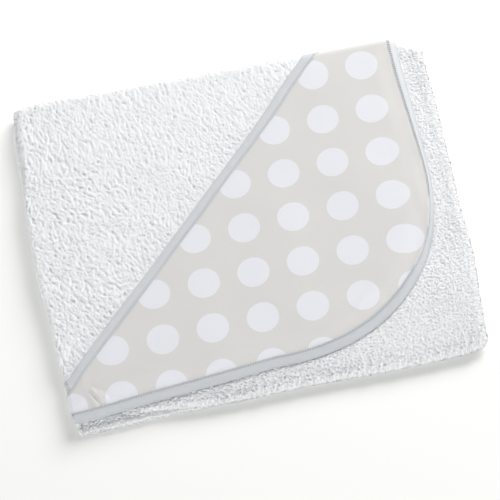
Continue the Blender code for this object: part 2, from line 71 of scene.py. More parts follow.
def smooth(a, b, x):
    t = np.clip((np.asarray(x, float) - a) / (b - a), 0, 1)
    return t * t * (3 - 2 * t)


# ---- outlines on the pattern ----
def line(p, q, n):
    return [(p[0] + (q[0] - p[0]) * i / n, p[1] + (q[1] - p[1]) * i / n) for i in range(n)]


def bezier(p, a, b, q, n):
    out = []
    for i in range(n):
        t = i / n
        c = ((1 - t) ** 3, 3 * (1 - t) ** 2 * t, 3 * (1 - t) * t * t, t ** 3)
        out.append(tuple(c[0] * p[k] + c[1] * a[k] + c[2] * b[k] + c[3] * q[k] for k in (0, 1)))
    return out


def rounded(c, start, end):
    """A corner at c, reached in direction start and left in direction end."""
    (sx, sy), (ex, ey) = start, end
    r, k = CORNER_R, CORNER_K
    p0 = (c[0] - sx * r, c[1] - sy * r)
    p1 = (c[0] + ex * r, c[1] + ey * r)
    a = (p0[0] + sx * r * k, p0[1] + sy * r * k)
    b = (p1[0] - ex * r * k, p1[1] - ey * r * k)
    return bezier(p0, a, b, p1, 8) + [p1]


BACK_TIP = (U_RIGHT - 1.0, U_RIGHT - 1.0 - HOOD_LINE)
LEFT_TIP = (-153.5 + HOOD_LINE, -153.5)
AT_FOLD, AT_RIGHT, AT_FRONT = (169.3, 165.0), (171.3, 20.0), (0.0, -140.0)
HOOD_EDGE = np.array(
    bezier(BACK_TIP, (169.4, 218.0), (169.3, 192.0), AT_FOLD, 14)
    + bezier(AT_FOLD, (169.3, 118.0), (171.3, 68.0), AT_RIGHT, 20)
    + bezier(AT_RIGHT, (171.3, -65.0), (117.3, -145.6), AT_FRONT, 70)
    + line(AT_FRONT, LEFT_TIP, 30) + [LEFT_TIP])
HEM_START = (-352, V_FRONT)
HEM = np.array(
    bezier(LEFT_TIP, (LEFT_TIP[0] - 60, LEFT_TIP[1] - 5.2), (-290, V_FRONT), HEM_START, 20) + [HEM_START]
    + rounded((U_LEFT, V_FRONT), (-1, 0), (0, 1))
    + rounded((U_LEFT, V_BACK), (0, 1), (1, 0))
    + rounded((U_RIGHT, V_BACK), (1, 0), (0, -1))
    + [(U_RIGHT, BACK_TIP[1] + 12), BACK_TIP])
TOWEL = np.concatenate([HOOD_EDGE[:-1], HEM[:-1]])


def nearest(points, path):
    """Distance from each point to an open path, and the nearest point on it."""
    best = np.full(len(points), 1e9)
    at = np.zeros((len(points), 2))
    for a, b in zip(path[:-1], path[1:]):
        d = b - a
        t = np.clip(((points - a) @ d) / max(d @ d, 1e-12), 0, 1)
        c = a + t[:, None] * d
        r = np.hypot(*(points - c).T)
        closer = r < best
        best[closer] = r[closer]
        at[closer] = c[closer]
    return best, at


def inside(points, poly):
    x, y = points[:, 0], points[:, 1]
    c = np.zeros(len(points), bool)
    for (x1, y1), (x2, y2) in zip(np.roll(poly, 1, axis=0), poly):
        if y1 == y2:
            continue
        c ^= ((y1 > y) != (y2 > y)) & (x < (x2 - x1) * (y - y1) / (y2 - y1) + x1)
    return c


def blended(grid, a, b, c, d, s, t):
    """Between rows a and c and columns b and d of a grid, by the shares s and t."""
    return (grid[a, b] * (1 - s) * (1 - t) + grid[c, b] * s * (1 - t)
            + grid[a, d] * (1 - s) * t + grid[c, d] * s * t)


class Field:
    def __init__(self, function, step=1.5):
        self.u0, self.v0, self.step = U_LEFT - 4, V_FRONT - 4, step
        us = np.arange(self.u0, 196, step)
        vs = np.arange(self.v0, V_BACK + 6, step)
        uu, vv = np.meshgrid(us, vs, indexing="ij")
        self.values = function(np.c_[uu.ravel(), vv.ravel()]).reshape(uu.shape)

    def __call__(self, u, v):
        i = np.clip((np.asarray(u, float) - self.u0) / self.step, 0, self.values.shape[0] - 1.001)
        j = np.clip((np.asarray(v, float) - self.v0) / self.step, 0, self.values.shape[1] - 1.001)
        a, b = i.astype(int), j.astype(int)
        return blended(self.values, a, b, a + 1, b + 1, i - a, j - b)


edge_distance = Field(lambda p: nearest(p, HOOD_EDGE[::2])[0])
hem_distance = Field(lambda p: nearest(p, HEM)[0], 2.0)


def front_distance(u, v):
    return (u - v - HOOD_LINE) / SQ2


def signed(p, path, closing):
    """Distance from a path, negative on the inner side of the outline that closing completes."""
    d, _ = nearest(p, path)
    return np.where(inside(p, np.concatenate([path, closing])), -d, d)


# how far a place lies outside the top ply's sewn edge, in the plan
AROUND = np.array([(-700.0, -185.0), (-700.0, 400.0), (169.5, 400.0)])
beyond_edge = Field(lambda p: signed(p, HOOD_EDGE[::2], AROUND))
# how far a place on the pattern lies outside the plain hem
beyond_hem = Field(lambda p: signed(p, HEM, HOOD_EDGE[1:-1]))


# ---- how deep the cloth lies, as in the CAD model ----
def hooded(u, v):
    """1 where the hood covers the terry, falling to 0 in front of its free edge."""
    return smooth(-18.0, -9.0, front_distance(u, v))


def recess(u, v):
    """How far the pile gives way to the hood's cloth in the folds."""
    left = 1 - smooth(U_FOLD - A, U_FOLD + A + 16, u)
    back = smooth(V_FOLD - B - 16, V_FOLD + B, v)
    return 2.35 * hooded(u, v) * np.maximum(left, back)


def bound(u, v):
    """1 where the edge tape holds the terry."""
    return (1 - smooth(10.5, 26.0, edge_distance(u, v))) * hooded(u, v)


def terry_top(u, v):
    hemmed = 1 - smooth(4.1, 10.0, hem_distance(u, v))
    return TERRY - np.maximum(np.maximum(2.05 * bound(u, v), recess(u, v)), 0.5 * hemmed)


def terry_bottom(u, v):
    return 0.55 * bound(u, v)


def lining_bottom(u, v):
    return terry_top(u, v) + 0.6


def panel_bottom(u, v):
    return lining_bottom(u, v) + LINING + 0.13


def panel_top(u, v):
    return panel_bottom(u, v) + PANEL


# ---- pattern to pack ----
def fold(u, v, h):
    """Flat pattern to the folded pack, all in millimetres."""
    u, v, h = np.broadcast_arrays(np.asarray(u, float), np.asarray(v, float), np.asarray(h, float))
    s = u - U_FOLD
    psi = math.pi / 2 * (1 - np.clip(s / A, -1, 1))
    turn = X_FOLD - (G1 + h) * np.sin(psi)
    x = np.where(s > A, X_FOLD + (s - A), np.where(s < -A, X_FOLD + (-s - A), turn))
    eta = (G1 + h) * np.cos(psi)
    q = V_FOLD - v
    r = G2 + eta
    chi = math.pi / 2 * (1 - np.clip(q / B, -1, 1))
    turn = Y_FOLD + r * np.sin(chi)
    y = np.where(q > B, Y_FOLD - (q - B), np.where(q < -B, Y_FOLD + (q + B), turn))
    z = Z_MID + r * np.cos(chi)
    return settle(np.stack([x, y, z], axis=-1))


def waves(x, y, seed, low, high):
    """A gentle uneven surface between -1 and 1, from a few long waves."""
    rng = np.random.default_rng(seed)
    total = np.zeros_like(x)
    for _ in range(WAVES):
        wavelength = rng.uniform(low, high)
        angle, phase = rng.uniform(0, math.tau, 2)
        total += np.sin((x * math.cos(angle) + y * math.sin(angle)) * math.tau / wavelength + phase)
    return total / math.sqrt(WAVES) / 1.5


def settle(p):
    """The pack as cloth lies: folds that bulge unevenly, rounded corners, and a right side that sinks."""
    x, y, z = p[..., 0].copy(), p[..., 1].copy(), p[..., 2].copy()
    # past the top ply's right edge the plies sink to the table, and that edge rolls down with them
    out = beyond_edge(x, y)
    side = smooth(-110, -40, y)
    under = smooth(13.5, 12.5, z)  # 1 for the plies below the top one
    low_pair = smooth(9.0, 7.8, z)  # 1 for the two plies on the table
    rolled = (5.0 * smooth(-9.5, 1.0, out) + 1.0 * smooth(0.0, 12.0, out)) * side
    z = z - rolled * np.clip(z / 9.0, 0, 1)
    # the lower plies' front edge: set back most at the left, drooping, the lowest two behind the second
    front = smooth(-122, -164, y)
    shift_y = (0.5 + 3.4 * smooth(150, -60, x)) * front * under + 3.2 * smooth(-138, -164, y) * low_pair
    z = z * (1 - 0.30 * smooth(-140, -167, y) * under)
    z = z - 0.9 * smooth(-12, 0, out) * (1 - side) * (1 - under)
    # the back fold slants
    shift_y += (15.5 - (x - END) / 353 * 15.0) * smooth(95, 165, y)
    # left folds, the upper pair's and the lower pair's
    bulge = 8.0 * smooth(-135, 40, y) * (1 - 0.72 * smooth(60, 125, y) * (1 - low_pair))
    shift_x = -bulge * smooth(-95, -188, x)
    # the rolled edge's tape stands steeply, so it is narrow in the plan
    steep = (1.5 + 3.9 * smooth(135, 10, y)) * side
    shift_x += steep * smooth(-32, -9.3, out) * smooth(0, -9.3, out)
    # corners
    shift_x += 3.0 * smooth(-138, -166, y) * smooth(-150, -191, x) * low_pair
    corner = smooth(138, 165, y) * smooth(-162, -191, x)
    shift_x += 4.0 * corner
    shift_y -= 2.0 * corner
    shift_x -= 5.0 * smooth(-55, -150, y) * smooth(140, 190, x)
    shift_y -= 9.5 * smooth(170, 192, x) * smooth(75, 160, y)
    shift_y += 3.0 * smooth(165, 192, x) * smooth(-120, -164, y)
    shift_y += 0.9 * waves(x, 0 * y, 5, 70, 190) * smooth(-100, -160, y)
    shift_x += 1.1 * waves(y, 0 * x, 6, 80, 210) * smooth(-120, -190, x)
    shift_x += 1.2 * waves(y, 0 * x, 7, 70, 160) * smooth(150, 190, x)
    loft = 0.10 * smooth(-60, -185, x) * smooth(-140, 60, y) + 0.08 * smooth(90, 165, y)
    x, y = x + shift_x, y + shift_y
    z = z * (1 + loft + 0.03 * waves(x, y, 11, 60, 220))
    z = np.where(z < 0.4, 0.4 * np.exp((np.minimum(z, 0.4) - 0.4) / 0.4), z)  # flattened on the table
    return np.stack([x, y, z], axis=-1)


# ---- pile heights ----
def splat(size, step, pitch, along, across, angle, spread, seed, sharp):
    """A tile of pile: many soft-edged tufts, the highest one showing, 0 to 1."""
    rng = np.random.default_rng(seed)
    n = int(size / step)
    k = int(size / pitch)
    gx, gy = np.meshgrid(np.arange(k), np.arange(k), indexing="ij")
    cx = ((gx + rng.uniform(-0.55, 0.55, gx.shape)) * size / k).ravel()
    cy = ((gy + rng.uniform(-0.55, 0.55, gy.shape)) * size / k).ravel()
    turn = angle + spread * rng.normal(0, 1, cx.size)
    top = rng.uniform(0.45, 1.0, cx.size)
    la = along * rng.uniform(0.6, 1.35, cx.size)
    lc = across * rng.uniform(0.8, 1.25, cx.size)
    ca, sa = np.cos(turn), np.sin(turn)
    field = np.zeros((n, n))
    reach = int(1.35 * along / step) + 1
    ix, iy = np.round(cx / step).astype(int), np.round(cy / step).astype(int)
    for dx in range(-reach, reach + 1):
        for dy in range(-reach, reach + 1):
            px, py = (ix + dx) * step - cx, (iy + dy) * step - cy
            a, c = (px * ca + py * sa) / la, (-px * sa + py * ca) / lc
            r = a * a + c * c
            ok = r < 1
            if ok.any():
                value = top[ok] * (1 - r[ok]) ** sharp * (1 + 0.25 * a[ok])
                np.maximum.at(field, ((ix[ok] + dx) % n, (iy[ok] + dy) % n), value)
    return field / field.max(), size


def sample(tile, x, y):
    """The pile's height at a place, with the tile repeated both ways."""
    values, size = tile
    n = values.shape[0]
    i, j = np.asarray(x, float) / size * n, np.asarray(y, float) / size * n
    a, b = np.floor(i).astype(int), np.floor(j).astype(int)
    return blended(values, a % n, b % n, (a + 1) % n, (b + 1) % n, i - a, j - b)


COMBED = splat(144.0, 0.36, 2.25, 4.1, 1.45, math.radians(-68), 0.33, 21, 1.0)
LOOPS = splat(96.0, 0.3, 1.45, 1.25, 0.95, 0.0, 3.0, 22, 1.1)


def outer_u(u):
    """Length along the outer side, which is longer round the left fold."""
    s = u - U_FOLD
    return u + np.clip(s, -A, A) * ((G1 + TERRY) / G1 - 1)


def outer_v(v):
    q = v - V_FOLD
    return v + np.clip(q, -B, B) * ((G2 + G1 + TERRY) / G2 - 1)


# ---- meshes ----
def lines(runs, k):
    """Lattice lines over several runs of (start, end, cell size), each cell split in k."""
    out = []
    for start, end, size in runs:
        n = max(1, round((end - start) / size)) * k
        out += [start + (end - start) * i / n for i in range(n)]
    return np.array(out + [runs[-1][1]])


def grown(cells):
    """The cells that hold, and their neighbours."""
    out = cells.copy()
    for axis in (0, 1):
        for shift in (1, -1):
            out |= np.roll(cells, shift, axis)
    return out


def lattice(us, vs, outline, k=1, fine=None, cut=None):
    """Cells of a lattice inside an outline: points (n, 2), polygons and rim edges.

    Cells where fine(u, v) holds, and those at the rim, are split k by k. Points outside
    or just inside the outline are moved to it. cut limits cells to a range of v."""
    nu, nv = len(us), len(vs)
    uu, vv = np.meshgrid(us, vs, indexing="ij")
    flat = np.c_[uu.ravel(), vv.ravel()]
    within = inside(flat, outline)
    path = np.concatenate([outline, outline[:1]])
    cu, cv = (nu - 1) // k, (nv - 1) // k
    ci, cj = [a.ravel() for a in np.meshgrid(np.arange(cu), np.arange(cv), indexing="ij")]
    corner = [(ci + a) * k * nv + (cj + b) * k for a, b in ((0, 0), (1, 0), (1, 1), (0, 1))]
    hits = sum(within[c].astype(int) for c in corner)
    whole, some = hits == 4, hits > 0
    mid_u, mid_v = (us[ci * k] + us[(ci + 1) * k]) / 2, (vs[cj * k] + vs[(cj + 1) * k]) / 2
    if fine is None:
        is_fine = np.zeros(len(ci), bool)
    else:
        # a base cell counts as rim if it or a neighbour isn't whole
        is_fine = fine(mid_u, mid_v) | grown(~whole.reshape(cu, cv)).ravel()
    use = grown(some.reshape(cu, cv)).ravel()
    if cut is not None:
        use &= (mid_v > cut[0]) & (mid_v < cut[1])
    is_fine &= use
    # sub-cells
    fi, fj = ci[is_fine], cj[is_fine]
    sub = []
    for a in range(k):
        for b in range(k):
            base = (fi * k + a) * nv + fj * k + b
            sub.append(np.stack([base, base + nv, base + nv + 1, base + 1], 1))
    sub = np.concatenate(sub) if sub else np.zeros((0, 4), int)
    coarse = use & ~is_fine
    big = np.stack([c[coarse] for c in corner], 1)
    # snapping to the outline, decided point by point
    used = np.unique(np.concatenate([sub.ravel(), big.ravel()]))
    in_fine = np.zeros(len(flat), bool)
    in_fine[sub.ravel()] = True
    size = np.median(np.diff(us)) * np.where(in_fine[used], 1.0, k)
    dist, at = nearest(flat[used], path)
    snap = ~within[used] | (dist < 0.3 * size)
    if cut is not None:
        used_v = flat[used][:, 1]
        snap &= ~((np.abs(used_v - cut[0]) < TINY) | (np.abs(used_v - cut[1]) < TINY)) | ~within[used]
    strict = np.zeros(len(flat), bool)
    strict[used[~snap]] = True
    flat[used[snap]] = at[snap]
    sub = sub[strict[sub].any(1)]
    keep = strict[big].any(1)
    bi, bj = ci[coarse][keep], cj[coarse][keep]
    touched = np.zeros(len(flat), bool)
    touched[sub.ravel()] = True
    polys = [tuple(p) for p in sub.tolist()]
    for i, j in zip(bi.tolist(), bj.tolist()):
        ring = []
        base = i * k * nv + j * k
        sides = [[base + a * nv for a in range(k)], [base + k * nv + b for b in range(k)],
                 [base + k * nv + k - a * nv for a in range(k)], [base + k - b for b in range(k)]]
        for side in sides:
            ring.append(side[0])
            ring += [m for m in side[1:] if touched[m]]
        polys.append(tuple(ring))
    # keep the places in use, renumbered
    ids = np.unique(np.concatenate([np.array(p) for p in polys]))
    number = np.full(len(flat), -1)
    number[ids] = np.arange(len(ids))
    points = flat[ids]
    polys = [tuple(number[list(p)]) for p in polys]
    edges = dict.fromkeys((a, b) for p in polys for a, b in zip(p, p[1:] + p[:1]))
    rim = [(a, b) for a, b in edges if (b, a) not in edges]
    return points, polys, rim


def new_mesh(name, places, faces, pattern, mat, extra=None):
    """A mesh object from millimetres, with its pattern place kept for the materials."""
    mesh = bpy.data.meshes.new(name)
    mesh.from_pydata((np.asarray(places) * MM).tolist(), [], [tuple(int(i) for i in f) for f in faces])
    mesh.validate()
    mesh.shade_smooth()
    a = mesh.attributes.new("pattern", "FLOAT_VECTOR", "POINT")
    a.data.foreach_set("vector", np.asarray(pattern, np.float32).ravel())
    for key, values in (extra or {}).items():
        e = mesh.attributes.new(key, "FLOAT", "POINT")
        e.data.foreach_set("value", np.asarray(values, np.float32))
    obj = bpy.data.objects.new(name, mesh)
    bpy.context.scene.collection.objects.link(obj)
    mesh.materials.append(mat)
    return obj


def back_weight(v):
    """1 on the upper half and 0 on the lower half, changing evenly through the back fold."""
    return np.clip((V_FOLD - v + B) / (2 * B), 0, 1)


def hood_weight(u, v):
    """How far the hood's cloth follows its opening: 0 at its sewn edge and folds, 1 at the free edge's middle."""
    left, back = smooth(0, 120, u - U_FOLD - A), smooth(0, 120, V_FOLD - B - v)
    return (smooth(4, 120, edge_distance(u, v)) * left * back) ** 0.85


def bend(obj, weight):
    """Bake the piece's placement into its mesh. The weight is not used."""
    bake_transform(obj)


# ---- materials ----
class Look:
    """A material, with short forms for building its nodes."""

    def __init__(self, name):
        self.mat = bpy.data.materials.new(name)
        self.mat.use_nodes = True
        self.tree = self.mat.node_tree
        self.bsdf = self.tree.nodes["Principled BSDF"]
        self.place = self.attribute("pattern").outputs["Vector"]

    def new(self, kind, **settings):
        node = self.tree.nodes.new(kind)
        for key, value in settings.items():
            setattr(node, key, value)
        return node

    def put(self, socket, value):
        if isinstance(value, bpy.types.NodeSocket):
            self.tree.links.new(value, socket)
        else:
            socket.default_value = value

    def math(self, op, a, b=0.0):
        node = self.new("ShaderNodeMath", operation=op)
        self.put(node.inputs[0], a)
        self.put(node.inputs[1], b)
        return node.outputs[0]

    def add(self, a, b):
        return self.math("ADD", a, b)

    def sub(self, a, b):
        return self.math("SUBTRACT", a, b)

    def mul(self, a, b):
        return self.math("MULTIPLY", a, b)

    def wave(self, value, pitch, op="SINE"):
        return self.math(op, self.mul(value, math.tau / pitch))

    def attribute(self, name):
        return self.new("ShaderNodeAttribute", attribute_name=name)

    def stretched(self, scale):
        node = self.new("ShaderNodeVectorMath", operation="MULTIPLY")
        self.put(node.inputs[0], self.place)
        self.put(node.inputs[1], scale)
        return node.outputs["Vector"]

    def noise(self, vector, scale, detail=2.0, rough=0.5):
        node = self.new("ShaderNodeTexNoise")
        for key, value in (("Vector", vector), ("Scale", scale), ("Detail", detail), ("Roughness", rough)):
            self.put(node.inputs[key], value)
        return node.outputs["Fac"]

    def mix(self, factor, a, b):
        node = self.new("ShaderNodeMix", data_type="RGBA")
        for socket, value in ((0, factor), (6, a), (7, b)):
            self.put(node.inputs[socket], value)
        return node.outputs[2]

    def ramp(self, value, low, high):
        node = self.new("ShaderNodeMapRange", interpolation_type="SMOOTHSTEP")
        for key, value in (("Value", value), ("From Min", low), ("From Max", high)):
            self.put(node.inputs[key], value)
        return node.outputs["Result"]

    def split(self, vector):
        node = self.new("ShaderNodeSeparateXYZ")
        self.put(node.inputs[0], vector)
        return node.outputs

    def weave(self, pitch):
        """Plain weave: threads over and under each other at a pitch in millimetres."""
        u, v, _ = self.split(self.place)
        over = self.mul(self.wave(u, pitch), self.wave(v, pitch))
        return self.add(self.mul(over, 0.5), 0.5)

    def cloth(self, colour, height, depth, strength, roughness, sheen):
        """Give it a colour, a relief and a cloth's surface, and hand it over."""
        bump = self.new("ShaderNodeBump")
        for key, value in (("Height", height), ("Distance", depth), ("Strength", strength)):
            self.put(bump.inputs[key], value)
        for key, value in (
                ("Base Color", colour), ("Normal", bump.outputs["Normal"]), ("Roughness", roughness),
                ("Specular IOR Level", 0.25), ("Sheen Weight", sheen), ("Sheen Roughness", 0.5),
                ("Sheen Tint", (1, 1, 1, 1))):
            self.put(self.bsdf.inputs[key], value)
        return self.mat


INNER_SIDE = 50.0  # the pattern's third number where the pile is looped


def terry_material():
    n = Look("white_terry")
    pile = n.attribute("pile").outputs["Fac"]
    fibre = n.noise(n.stretched((1.0, 0.45, 1.0)), 1.5, 3.0, 0.65)
    loops = n.noise(n.place, 0.62, 2.0, 0.55)
    broad = n.noise(n.place, 0.022, 2.0, 0.5)
    # painted shade: the pile's low places, between its tufts and loops, are painted darker, as if shaded
    deep = n.ramp(n.add(pile, n.mul(n.sub(loops, 0.5), 0.5)), 0.08, 0.62)
    light = n.mix(broad, (0.945, 0.950, 0.959, 1), (0.962, 0.966, 0.973, 1))
    # painted light: on the looped side the painted shade is lighter, brightening the margins that the lamps leave
    # dim
    looped = n.ramp(n.split(n.place)[2], 0.4 * INNER_SIDE, 0.6 * INNER_SIDE)
    painted_root_shade = n.mix(looped, (0.815, 0.826, 0.841, 1), (0.865, 0.873, 0.885, 1))
    height = n.add(n.mul(fibre, 0.45), n.mul(loops, 0.55))
    return n.cloth(n.mix(deep, painted_root_shade, light), height, 0.0014, 1.0, 0.95, 0.35)


def print_material():
    """Natural cloth with white dots, and fine darker threads both ways."""
    n = Look("dotted_print")
    wobble = n.noise(n.place, 0.5, 1.0)
    u, v, _ = n.split(n.place)

    def to_dot(value, at):
        """Distance to the nearest row of dots, with a sign."""
        shifted = n.add(n.sub(value, at), DOT_PITCH * 40.5)
        return n.sub(n.math("MODULO", shifted, DOT_PITCH), DOT_PITCH / 2)

    du, dv = to_dot(u, DOT_U), to_dot(v, DOT_V)
    r = n.math("SQRT", n.add(n.mul(du, du), n.mul(dv, dv)))
    r = n.add(r, n.mul(n.sub(wobble, 0.5), DOT_BLUR))
    dot = n.sub(1.0, n.ramp(r, DOT_R - DOT_BLUR, DOT_R + DOT_BLUR))
    broad = n.noise(n.place, 0.03, 3.0, 0.55)
    threads = [n.noise(n.stretched(scale), 2.4, 2.0) for scale in ((1.0, 0.12, 1.0), (0.12, 1.0, 1.0))]
    slub = n.add(*threads)
    ground = n.mix(broad, (0.700, 0.686, 0.671, 1), (0.746, 0.729, 0.706, 1))
    white = n.mix(broad, (0.815, 0.822, 0.862, 1), (0.840, 0.845, 0.884, 1))
    colour = n.mix(dot, ground, white)
    colour = n.mix(n.ramp(slub, 0.75, 1.25), n.mix(0.05, colour, (0.45, 0.43, 0.41, 1)), colour)
    height = n.add(n.mul(n.weave(0.62), 0.5), n.mul(slub, 0.25))
    return n.cloth(colour, height, 0.00012, 0.8, 0.8, 0.15)


SEAM_ROW, SEAM_HALF = 18.9, 0.95  # the stitches' place across a tape's section
TAPE_SHADE = (0.36, 0.40, 0.42, 1)


def tape_material():
    """Bias tape: 'pattern' is (along the tape, across its section, strength of its seam's painted shade)."""
    n = Look("bias_tape")
    u, v, strength = n.split(n.place)
    ribs = n.wave(n.add(u, v), 0.62)
    cross = n.wave(n.sub(u, v), 0.75)
    ribs = n.add(ribs, n.mul(cross, 0.5))
    ribs = n.add(n.mul(ribs, 0.33), 0.5)
    speck = n.noise(n.place, 1.7, 3.0, 0.6)
    broad = n.noise(n.stretched((0.06, 0.3, 1.0)), 1.0, 2.0)
    base = n.mix(broad, (0.672, 0.690, 0.711, 1), (0.722, 0.736, 0.758, 1))
    grain = n.ramp(n.add(n.mul(speck, 0.7), n.mul(ribs, 0.3)), 0.3, 0.7)
    colour = n.mix(grain, n.mix(0.16, base, (0.34, 0.38, 0.40, 1)), base)
    # painted shade along the seam's groove, darkest at the needle holes between stitches
    gap = n.add(0.2, n.mul(n.ramp(n.wave(u, STITCH, "COSINE"), -0.3, 0.6), 0.75))
    seam = n.ramp(n.sub(SEAM_HALF, n.math("ABSOLUTE", n.sub(v, SEAM_ROW))), 0.0, 0.35)
    colour = n.mix(n.mul(n.mul(seam, strength), gap), colour, (0.13, 0.15, 0.155, 1))
    # painted shade: the front leg of the sewn edge's tape is painted darker, and so are the tapes' rims
    shaded = n.mul(n.ramp(strength, 0.3, 0.4), n.sub(1.0, n.ramp(strength, 0.5, 0.8)))
    colour = n.mix(n.mul(shaded, 0.17), colour, TAPE_SHADE)
    colour = n.mix(n.mul(n.attribute("rim").outputs["Fac"], 0.35), colour, TAPE_SHADE)
    return n.cloth(colour, n.add(ribs, n.mul(speck, 0.6)), 0.00014, 0.9, 0.72, 0.3)


def lining_material():
    n = Look("white_lining")
    colour = n.mix(n.noise(n.place, 0.05, 3.0), (0.86, 0.865, 0.87, 1), (0.91, 0.912, 0.915, 1))
    return n.cloth(colour, n.weave(0.9), 0.0002, 0.7, 0.9, 0.2)


def thread_material(name, colour, dark):
    """Twisted sewing thread: 'pattern' is (along, round) the thread."""
    n = Look(name)
    u, v, _ = n.split(n.place)
    twist = n.math("SINE", n.add(n.mul(u, math.tau / 0.5), n.mul(v, math.tau)))
    twist = n.add(n.mul(twist, 0.5), 0.5)
    fuzz = n.noise(n.place, 3.0, 2.0)
    tone = n.add(n.mul(twist, 0.7), n.mul(fuzz, 0.3))
    return n.cloth(n.mix(tone, (*dark, 1), (*colour, 1)), twist, 0.00006, 0.8, 0.6, 0.2)


TERRY_MAT = terry_material()
PRINT_MAT = print_material()
TAPE_MAT = tape_material()
LINING_MAT = lining_material()
THREAD_MAT = thread_material("white_thread", (0.88, 0.89, 0.90), (0.66, 0.68, 0.70))
HEM_MAT = thread_material("hem_thread", (0.93, 0.935, 0.94), (0.80, 0.81, 0.82))


# ---- terry body ----
CELL, SPLIT = 3.6, 4
T_US = lines([(U_LEFT - 0.02, U_FOLD - A, CELL), (U_FOLD - A, U_FOLD + A, 2 * A / 4),
              (U_FOLD + A, TERRY_END, CELL)], SPLIT)
T_VS = lines([(V_FRONT - 0.02, V_FOLD - B, CELL), (V_FOLD - B, V_FOLD + B, 2 * B / 6),
              (V_FOLD + B, V_BACK + 0.02, CELL)], SPLIT)
THIRD_LEFT = -372.0  # where the third ply's margin goes under the others


def plan(u):
    """The pack's x for a pattern u."""
    s = u - U_FOLD
    return X_FOLD + np.maximum(np.abs(s) - A, 0)


def fine_outer(u, v):
    """The outer side that shows: the top ply outside the hood, and both plies' left fold."""
    f = front_distance(u, v)
    top = (u > U_FOLD - A - 6) & (v < V_FOLD + B + 4) & (f < 2)
    margin = (u < U_FOLD) & (u > THIRD_LEFT) & (v > V_BACK - 24)
    return top | ((np.abs(u - U_FOLD) < A + 4) & (f < 2)) | margin


def beyond_top(u, v):
    """How far a point of the second ply lies outside the top ply's sewn edge."""
    return beyond_edge(plan(u), v)


def fine_inner(u, v):
    """The inner side that shows: the second ply's margin along the front and the right."""
    return (u < U_FOLD) & (v < V_FOLD - B) & (beyond_top(u, v) > -7)


def third_ply(u, v):
    """1 on the third ply's front margin, which shows below the hood's left tip."""
    across = smooth(THIRD_LEFT, THIRD_LEFT + 22, u) * smooth(U_FOLD + 2, U_FOLD - 3, u)
    return across * smooth(V_BACK - 23, V_BACK - 18, v)


def terry_outer_height(u, v):
    """Depth of the outer side: combed pile, looped on the third ply, thin where nothing shows it."""
    f = front_distance(u, v)
    ou, ov = outer_u(u), outer_v(v)
    drift = waves(ou, ov, 31, 25, 80) * 3.0
    loops = third_ply(u, v)
    combed = sample(COMBED, ou + 0.35 * drift, ov + drift)
    pile = combed * (1 - loops) + sample(LOOPS, u, v) * loops
    open_air = np.where((u > U_FOLD - A - 3) & (v < V_FOLD + B + 3), 1.0, 0.0)
    left_side = smooth(A + 4, A, np.abs(u - U_FOLD))
    open_air = np.maximum(open_air, left_side) * smooth(2.0, -6.0, f)
    open_air = np.maximum(open_air, loops) * smooth(-0.5, 1.5, hem_distance(u, v))
    clumped = 1.3 + 0.65 * smooth(40, -170, u + 0.5 * v) + 0.25 * waves(ou, ov, 33, 9, 26)
    amplitude = 0.35 + open_air * clumped
    offset = -0.35 + open_air * (-0.3)
    return terry_top(u, v) + offset + amplitude * pile, pile, open_air


def terry_inner_height(u, v):
    """Depth of the inner side: loops, full only on the second ply's margin."""
    pile = sample(LOOPS, u, v)
    margin = np.where((u < U_FOLD) & (v < V_FOLD), smooth(-5, 1, beyond_top(u, v)), 0.0)
    margin = margin * smooth(0.5, 4.0, edge_distance(u, v))
    amplitude = 0.3 + margin * 1.7
    offset = 0.25 + margin * 0.35
    return terry_bottom(u, v) + offset - amplitude * pile, pile


def spill(u, v, pile):
    """The pile bulging over the plain hem: new (u, v), and how far the edge is rounded."""
    e = 1.0
    gu = beyond_hem(u + e, v) - beyond_hem(u - e, v)
    gv = beyond_hem(u, v + e) - beyond_hem(u, v - e)
    size = np.maximum(np.hypot(gu, gv), 1e-6)
    roll = smooth(4.0, 0.0, hem_distance(u, v)) * smooth(0.5, 5.0, edge_distance(u, v))
    out = roll * (0.6 + 2.1 * pile)
    return u + gu / size * out, v + gv / size * out, roll


def make_terry():
    outer, outer_faces, rim = lattice(T_US, T_VS, TOWEL, SPLIT, fine_outer)
    inner, inner_faces, _ = lattice(T_US, T_VS, TOWEL, SPLIT, fine_inner)
    u, v = outer.T
    h, pile, show = terry_outer_height(u, v)
    lean = 0.9 * pile * show
    su, sv, roll = spill(u, v, pile)
    top = fold(su + 0.12 * lean, sv - 0.45 * lean, h - 0.9 * roll ** 2)
    h, inner_pile = terry_inner_height(*inner.T)
    su, sv, roll = spill(*inner.T, inner_pile)
    low = fold(su, sv, h + 0.8 * roll ** 2)
    n = len(outer)
    where = {(round(p[0], 4), round(p[1], 4)): i for i, p in enumerate(inner.tolist())}
    faces = outer_faces + [tuple(i + n for i in reversed(f)) for f in inner_faces]
    for a, b in rim:
        c, d = (where[(round(outer[i][0], 4), round(outer[i][1], 4))] for i in (a, b))
        faces.append((b, a, c + n, d + n))
    places = np.concatenate([top, low])
    pattern = np.concatenate([np.c_[outer_u(u), outer_v(v), INNER_SIDE * third_ply(u, v)],
                              np.c_[inner, np.full(len(inner), INNER_SIDE)]])
    obj = new_mesh("terry_body", places, faces, pattern, TERRY_MAT, {"pile": np.concatenate([pile, inner_pile])})
    bend(obj, back_weight(np.concatenate([v, inner[:, 1]])))
    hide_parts("terry_upper_half", "terry_lower_half", "terry_back_fold")
    return obj


terry = make_terry()


